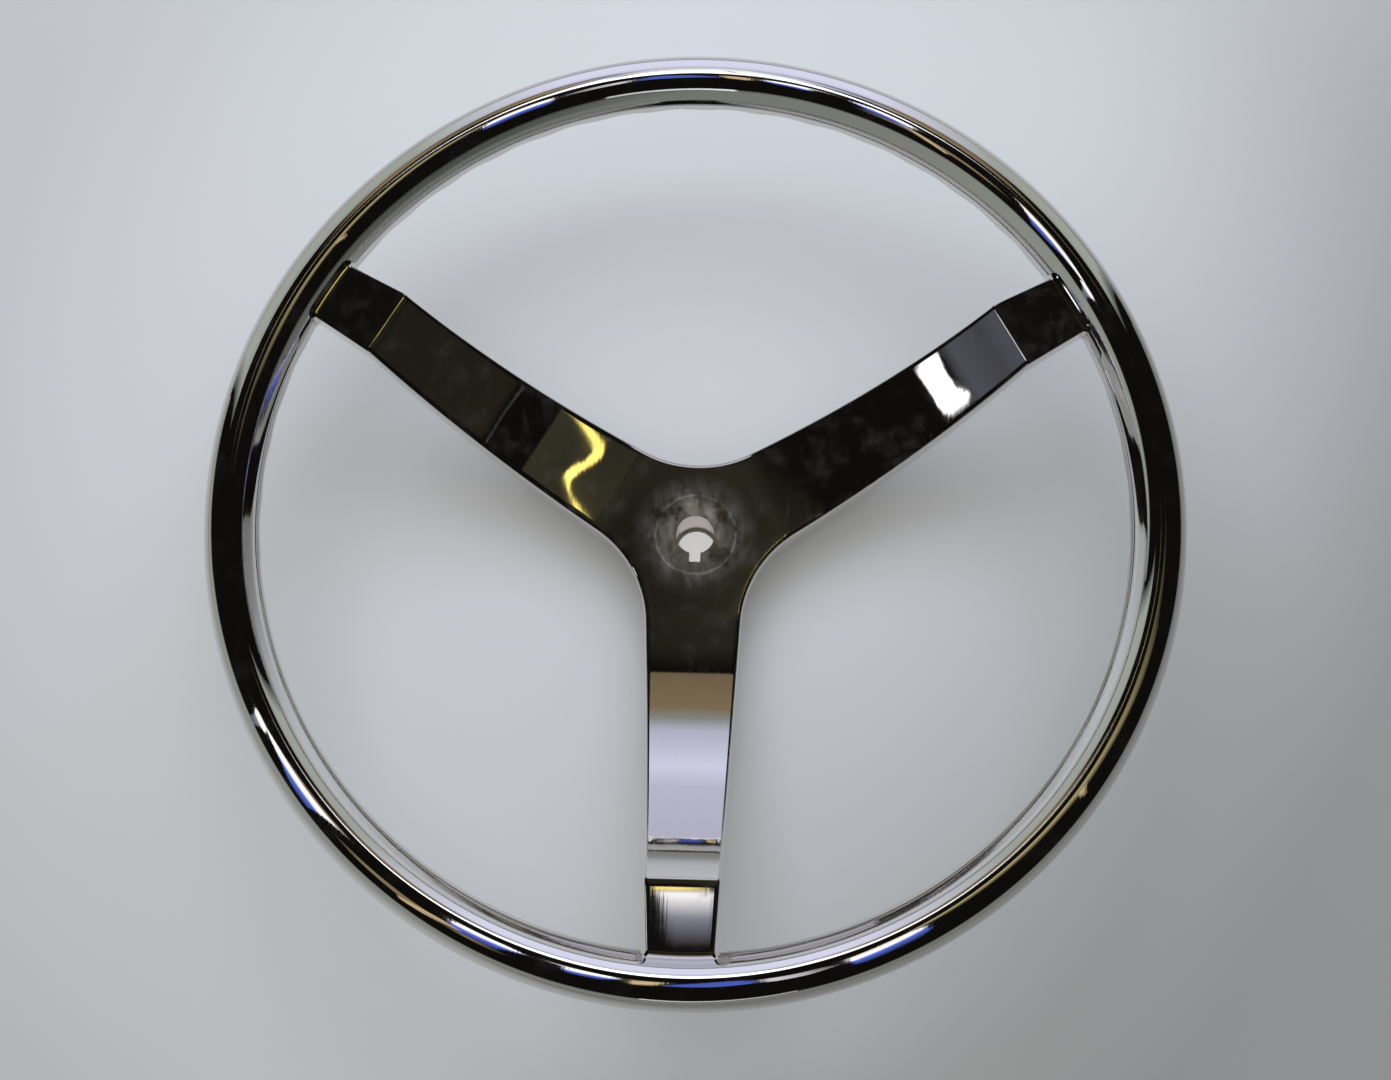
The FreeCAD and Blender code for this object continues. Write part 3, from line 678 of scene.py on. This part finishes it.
# what the mirror finish shows: soft cards that only reflections see, in a dark studio
tones = {
    "black": (0, 0, 0),
    "white": (1.75, 1.75, 1.85),
    "haze": (0.95, 0.97, 1.25),
    "blue": (0.12, 0.20, 0.90),
    "grey": (0.46, 0.50, 0.46),
    "tan": (0.62, 0.47, 0.27),
    "gold": (1.15, 0.95, 0.50),
    "yellow": (1.8, 1.45, 0.34),
    "olive": (0.11, 0.10, 0.06),
}
glow = bpy.data.materials.new("cardGlow")
glow.use_nodes = True
glow.node_tree.nodes.clear()
tint = glow.node_tree.nodes.new("ShaderNodeAttribute")
tint.attribute_name = "glow"
shine = glow.node_tree.nodes.new("ShaderNodeEmission")
clear = glow.node_tree.nodes.new("ShaderNodeBsdfTransparent")
both = glow.node_tree.nodes.new("ShaderNodeAddShader")
shown = glow.node_tree.nodes.new("ShaderNodeOutputMaterial")
glow.node_tree.links.new(tint.outputs["Color"], shine.inputs["Color"])
glow.node_tree.links.new(shine.outputs["Emission"], both.inputs[0])
glow.node_tree.links.new(clear.outputs["BSDF"], both.inputs[1])
glow.node_tree.links.new(both.outputs["Shader"], shown.inputs["Surface"])

receivers = {}
for name, pieces in (("ring", ["ring"]),
                     ("sheet", ["spider", "boss", "armWeld_lower", "armWeld_right", "armWeld_left"])):
    receivers[name] = bpy.data.collections.new(name + "Cards")
    for piece in pieces:
        receivers[name].objects.link(bpy.data.objects[piece])


# a place at an azimuth and an angle from straight up, in degrees, seen from the middle of the wheel
def far(azimuth, fromTop, distance=3.0):
    a, t = np.radians(azimuth), np.radians(fromTop)
    return np.array([np.sin(t) * np.cos(a), np.sin(t) * np.sin(a), np.cos(t)]) * distance + np.array([0, 0, ringPlane])


# where the camera's line, mirrored at (s, side) on an arm's face, in millimetres, meets a plane across x, y or z
def mirrored(arm, s, side, axis, value):
    a = armAngles[armNames.index(arm)]
    s, side = s * mm, side * mm
    height, lean = (float(v) for v in topHeight(s)[:2])
    point = np.array([s * np.cos(a) - side * np.sin(a), s * np.sin(a) + side * np.cos(a), height])
    normal = np.array([-np.sin(lean) * np.cos(a), -np.sin(lean) * np.sin(a), np.cos(lean)])
    ray = point - np.array(view["place"])
    ray = ray - 2 * (ray @ normal) * normal
    return point + (value - point[axis]) / ray[axis] * ray


# a strip whose rows are pairs of places, each with its tone and strength, seen by mirrors only
def addCard(name, rows, seenBy=None):
    places = np.array([[place for place, tone, gain in row] for row in rows])
    colours = np.array([[np.append(gain * np.array(tones[tone]), 1) for place, tone, gain in row] for row in rows])
    rowCount, colCount = places.shape[:2]
    mesh = bpy.data.meshes.new(name)
    mesh.from_pydata(places.reshape(-1, 3).tolist(), [], gridQuads(rowCount, colCount).tolist())
    mesh.attributes.new("glow", "FLOAT_COLOR", "POINT").data.foreach_set("color", colours.reshape(-1))
    mesh.materials.append(glow)
    card = bpy.data.objects.new(name, mesh)
    for kind in ("camera", "diffuse", "shadow", "transmission", "volume_scatter"):
        setattr(card, "visible_" + kind, False)
    bpy.context.scene.collection.objects.link(card)
    if seenBy:
        card.light_linking.receiver_collection = receivers[seenBy]


# pairs of far places from rows of (azimuth, angle, azimuth, angle, tone, gain)
def farStrip(name, rows, seenBy=None):
    addCard(name, [[(far(r[0], r[1]), r[4], r[5]), (far(r[2], r[3]), r[4], r[5])] for r in rows], seenBy)


# seen by the ring: a wall at the far side with a lit fan above it, and brighter strips all round
wall = []
for azimuth in (40, 44, 60, 75, 90, 105, 122, 140, 151, 155):
    cool = np.exp(-((azimuth - 92) / 26) ** 2)
    edge = 0.1 if azimuth < 42 or azimuth > 153 else 1
    tone = "haze" if cool > 0.4 else "grey"
    wall.append([(far(azimuth, t), tone, edge * (0.75 if t < 60 else 0.95)) for t in (47, 60, 100)])
addCard("wall", wall, "ring")
fan = [
    (61, "tan", 0), (66, "tan", 0.45), (74, "tan", 0.6), (79, "haze", 0.5), (84, "haze", 0.9),
    (89, "white", 0.75), (96, "white", 0.65), (100, "haze", 0.5), (105, "tan", 0.7), (112, "tan", 0.4),
    (120, "tan", 0.6), (129, "tan", 0)]
addCard("fan", [[(far(a, 31), tone, 0.6 * gain), (far(a, 36), tone, gain), (far(a, 46.9), tone, 0.4 * gain)]
                for a, tone, gain in fan], "ring")
low = []
for azimuth in range(156, 401, 12):
    top = np.interp(azimuth, [156, 175, 205, 240, 290, 340, 372, 400], [84, 76, 71, 74, 79, 84, 88, 86])
    gain = np.interp(azimuth, [156, 200, 240, 300, 345, 400], [0.75, 0.68, 0.52, 0.42, 0.42, 0.46])
    low.append([(far(azimuth, top), "grey", 0), (far(azimuth, top + 4), "grey", gain),
                (far(azimuth, 99), "grey", 1.1 * gain)])
addCard("low", low, "ring")
farStrip("leftStrip", [
    (166, 15, 168, 13, "olive", 0.5), (181, 23, 186, 17, "tan", 0.6), (186, 32, 195, 23, "white", 1),
    (190, 37, 202, 33, "white", 0.8), (197, 44, 205, 42, "blue", 0.9), (202, 54, 207, 53, "blue", 0.6),
    (205, 61, 208, 61, "black", 0)], "ring")
farStrip("leftThread", [
    (183, 31, 185, 30, "grey", 0.05), (186.5, 38, 189, 36.5, "white", 1), (190, 46, 193, 45, "white", 0.9),
    (192, 52, 194, 52, "haze", 0.4), (194, 62, 195.4, 62, "haze", 0.2),
    (195, 74, 196.4, 74, "haze", 0.15)], "ring")
farStrip("tanPatch", [
    (209, 43, 210, 38, "tan", 0.05), (215, 46, 216, 36, "tan", 0.5), (223, 47, 224, 34, "tan", 0.4),
    (225, 55, 226, 30, "tan", 1.2), (228, 50, 229.5, 32, "tan", 0.8), (230, 44, 231, 36, "tan", 0.1),
    (233, 45, 234, 37, "tan", 0.4), (240, 46, 241, 38, "tan", 0)], "ring")
farStrip("frontA", [
    (181, 9, 181, 7, "olive", 2), (205, 13, 207, 9.5, "white", 1), (217, 19, 221, 12, "white", 0.9),
    (224, 26, 231, 19, "blue", 1), (229, 34, 235, 29, "blue", 0.5), (233, 40, 238, 37, "black", 0)], "ring")
farStrip("frontB", [
    (200, 7, 200, 5, "olive", 2), (228, 10, 230, 6.5, "white", 1), (238, 15, 243, 10, "white", 1),
    (243, 21, 250, 16, "blue", 1), (247, 28, 252, 25, "blue", 0.3)], "ring")
farStrip("frontTan", [
    (236, 6.5, 237, 4, "tan", 0.4), (249, 11, 252, 7, "tan", 1.2), (255, 19, 259, 14, "tan", 1.5),
    (258, 26, 261, 23, "tan", 0.1)], "ring")
farStrip("frontBlue", [
    (262, 20, 262, 1, "blue", 0.6), (272, 22, 272, 1, "blue", 0.7), (281, 20, 281, 1, "blue", 0.7)], "ring")
farStrip("frontWhite", [
    (282, 21, 283, 9, "white", 0.15), (284, 24, 286, 10, "white", 0.5), (290, 26, 292, 12, "white", 0.35),
    (297, 22, 298, 13, "white", 0.1)], "ring")
farStrip("rightStrip", [
    (297, 46, 306, 45, "black", 0), (296, 38, 310, 35, "blue", 0.5), (297.5, 28, 313, 25, "blue", 1),
    (299.5, 21, 318, 18, "white", 1), (304, 14, 326, 12, "white", 0.8), (312, 9, 342, 7.5, "gold", 0.7),
    (340, 6.5, 352, 5, "gold", 0.5)], "ring")
gold = [
    (-34, 12, 20, 0.25), (-24, 8.5, 26, 0.5), (-12, 7, 32, 0.8), (0, 6, 38, 1), (8, 8, 36, 0.95),
    (16, 11, 30, 0.6), (26, 15, 27, 0.35), (38, 19, 24, 0.1)]
addCard("goldFan", [[(far(a, t0), "gold", 0.6 * k), (far(a, 0.65 * t0 + 0.35 * t1), "gold", 0.4 * k),
                     (far(a, t1), "gold", 0)] for a, t0, t1, k in gold], "ring")
farStrip("goldThread", [
    (337.4, 47, 338, 47, "gold", 0.05), (340.4, 37, 341.4, 37, "gold", 0.4),
    (345, 29, 346.2, 29.5, "gold", 0.6), (353, 21, 354.5, 22, "gold", 0.15)], "ring")

# seen by the arms: a low screen beyond the lower arm, a patch for the right arm, a bent strip for the left arm
screen = [
    (0.088, "haze", 0.60), (0.22, "haze", 0.66), (0.27, "haze", 0.86), (0.32, "haze", 0.72),
    (0.37, "haze", 0.60), (0.41, "grey", 0.62), (0.45, "tan", 0.40), (0.55, "tan", 0.34),
    (0.61, "tan", 0.30), (0.618, "tan", 0)]
addCard("screen", [[((x, 0.30, z), tone, gain) for x in (-0.09, 0, 0.09)] for z, tone, gain in screen], "sheet")


# a strip traced from pairs of points on an arm, (s, side) in millimetres
def tracedStrip(name, arm, axis, value, rows):
    pairs = [[(mirrored(arm, r[0], r[1], axis, value), r[4], r[5]),
              (mirrored(arm, r[2], r[3], axis, value), r[4], r[5])] for r in rows]
    addCard(name, pairs, "sheet")


tracedStrip("bentStrip", "left", 0, 0.12, [
    (40.5, 21.8, 43, 18.3, "yellow", 0.25), (43, 21.5, 46, 17.5, "yellow", 0.9),
    (50, 18.5, 54, 14, "yellow", 1.1), (56.5, 13, 60, 9.5, "yellow", 1.2),
    (58.5, 8, 62.5, 7, "yellow", 1.2), (57, 2, 61, 2.5, "yellow", 1.2), (54, -4, 58, -2.5, "yellow", 1),
    (52.5, -8.5, 57, -7.5, "yellow", 1), (54.5, -13, 59, -10.5, "yellow", 1),
    (61, -16, 64.5, -13.5, "yellow", 1), (70, -18.5, 73, -16.5, "yellow", 0.7),
    (78, -19.5, 79, -18.5, "yellow", 0.1)])
tracedStrip("oliveField", "left", 2, 2.1, [
    (40, -30, 40, 30, "olive", 0.1), (60, -30, 60, 30, "olive", 0.28), (77.8, -30, 77.8, 30, "olive", 0.34),
    (78.2, -30, 78.2, 30, "olive", 0)])
tracedStrip("whitePatch", "right", 0, -0.87, [
    (113.5, 12, 117, 16, "white", 0.5), (114, 8, 124, 13, "white", 1.4), (114.5, 0, 123, 6, "white", 1.4),
    (114, -6, 123, -4, "white", 1.4), (115, -10, 126.5, -9, "white", 1.4),
    (117.5, -12.5, 124, -12, "white", 0.7)])
tracedStrip("tabLine", "lower", 2, 1.6, [
    (150.2, -11, 151.8, -11, "yellow", 1), (150.2, 0, 151.8, 0, "yellow", 1),
    (150.2, 11, 151.8, 11, "yellow", 0.4)])
tracedStrip("tabPatch", "lower", 2, 1.6, [
    (152.5, -9.5, 152.5, 13, "white", 0.9), (156, -7, 156, 13, "white", 0.55),
    (162, -6, 162, 13, "haze", 0.3), (168, -5, 168, 13, "haze", 0.12), (172, -4, 172, 13, "tan", 0.05)])
tracedStrip("coolField", "right", 0, -0.95, [
    (125, -16, 125, 16, "haze", 0.03), (129, -16, 129, 16, "haze", 0.10), (140, -15, 140, 15, "haze", 0.07),
    (147, -15, 147, 15, "haze", 0.10)])
tracedStrip("brownField", "left", 0, 0.95, [
    (97, -20, 97, 20, "olive", 0), (100, -20, 100, 20, "olive", 0.13), (146, -20, 146, 20, "olive", 0.11)])
tracedStrip("thinLine", "left", 2, 1.8, [
    (95.5, 17, 96.2, 17, "grey", 0.12), (96.1, 0, 96.8, 0, "grey", 0.08), (95.3, -16, 96, -16, "grey", 0.16)])
sides = ((20, 0), (62, 0.15), (90, 1), (118, 0.15), (160, 0))
addCard("hubField", [[(far(a, angle), "olive", gain * (1 if angle < 12 else side)) for a, side in sides]
                     for angle, gain in ((0, 0.14), (9, 0.2), (14, 0.22), (22, 0.17), (31, 0))], "sheet")

# bright bars over the far side of the ring
for name, left, right in (("crestRight", 0.002, 0.068), ("crestMiddle", -0.088, -0.005), ("crestLeft", -0.125, -0.103)):
    rows = [(0.30, "haze", 0.5), (0.34, "white", 1.4), (0.62, "white", 1.4), (0.65, "haze", 0.7), (0.69, "blue", 0.3)]
    addCard(name, [[((left, y, 0.98), tone, gain), ((right, y, 0.98), tone, gain)] for y, tone, gain in rows], "ring")
farStrip("goldLineRight", [
    (57, 25.5, 57, 27, "gold", 0.1), (68, 27.5, 68, 29.2, "gold", 0.5),
    (80, 28.7, 80, 30.4, "gold", 0.5)], "ring")
farStrip("goldLineLeft", [
    (107, 20.5, 107, 22, "gold", 0.3), (112, 20, 112, 21.6, "gold", 0.8),
    (119, 18.5, 119, 20.1, "gold", 0.8), (124, 17, 124, 18, "gold", 0.1)], "ring")
farStrip("frontLow", [(263, 79.5, 263, 77, "white", 0.6), (285, 79.5, 285, 77, "white", 0.4)], "ring")


# soft light from above, cool at the far side
def areaLight(name, place, target, size, power, colour):
    light = bpy.data.lights.new(name, "AREA")
    light.shape = "DISK"
    light.size = size
    light.energy = power
    light.color = colour
    lamp = bpy.data.objects.new(name, light)
    lamp.location = place
    lamp.rotation_euler = (Vector(target) - Vector(place)).to_track_quat("-Z", "Y").to_euler()
    lamp.visible_glossy = False
    lamp.visible_camera = False
    bpy.context.scene.collection.objects.link(lamp)


areaLight("farLeft", (-0.20, 0.52, 0.74), (-0.05, 0.05, 0), 0.6, 2.7, (0.74, 0.82, 1))
areaLight("farRight", (0.20, 0.56, 0.74), (0.05, 0.05, 0), 0.6, 2.4, (0.68, 0.77, 1))
areaLight("above", (-0.12, 0.1, 1.0), (-0.05, 0, 0), 0.9, 1.7, (1, 0.99, 0.95))

# a narrow lamp down the bore
narrow = bpy.data.lights.new("boreLight", "SPOT")
narrow.energy = 20
narrow.spot_size = np.radians(1.8)
narrow.spot_blend = 0.3
narrow.shadow_soft_size = 0.002
narrowLamp = bpy.data.objects.new("boreLight", narrow)
narrowLamp.location = (0, 0.004, 0.8)
narrowLamp.visible_glossy = False
bpy.context.scene.collection.objects.link(narrowLamp)

world = bpy.data.worlds.new("studio")
bpy.context.scene.world = world
world.use_nodes = True
worldTree = world.node_tree
ambient = worldTree.nodes["Background"]
ambient.inputs["Color"].default_value = (0.82, 0.83, 0.82, 1)
ambient.inputs["Strength"].default_value = 0.66
dark = worldTree.nodes.new("ShaderNodeBackground")
dark.inputs["Color"].default_value = (0.0055, 0.005, 0.0042, 1)
rays = worldTree.nodes.new("ShaderNodeLightPath")
choice = worldTree.nodes.new("ShaderNodeMixShader")
firstBounce = addMath(worldTree, "LESS_THAN", rays.outputs["Diffuse Depth"], 0.5)
worldTree.links.new(addMath(worldTree, "MULTIPLY", rays.outputs["Is Glossy Ray"], firstBounce), choice.inputs["Fac"])
worldTree.links.new(ambient.outputs["Background"], choice.inputs[1])
worldTree.links.new(dark.outputs["Background"], choice.inputs[2])
worldTree.links.new(choice.outputs["Shader"], worldTree.nodes["World Output"].inputs["Surface"])
print("studio made")
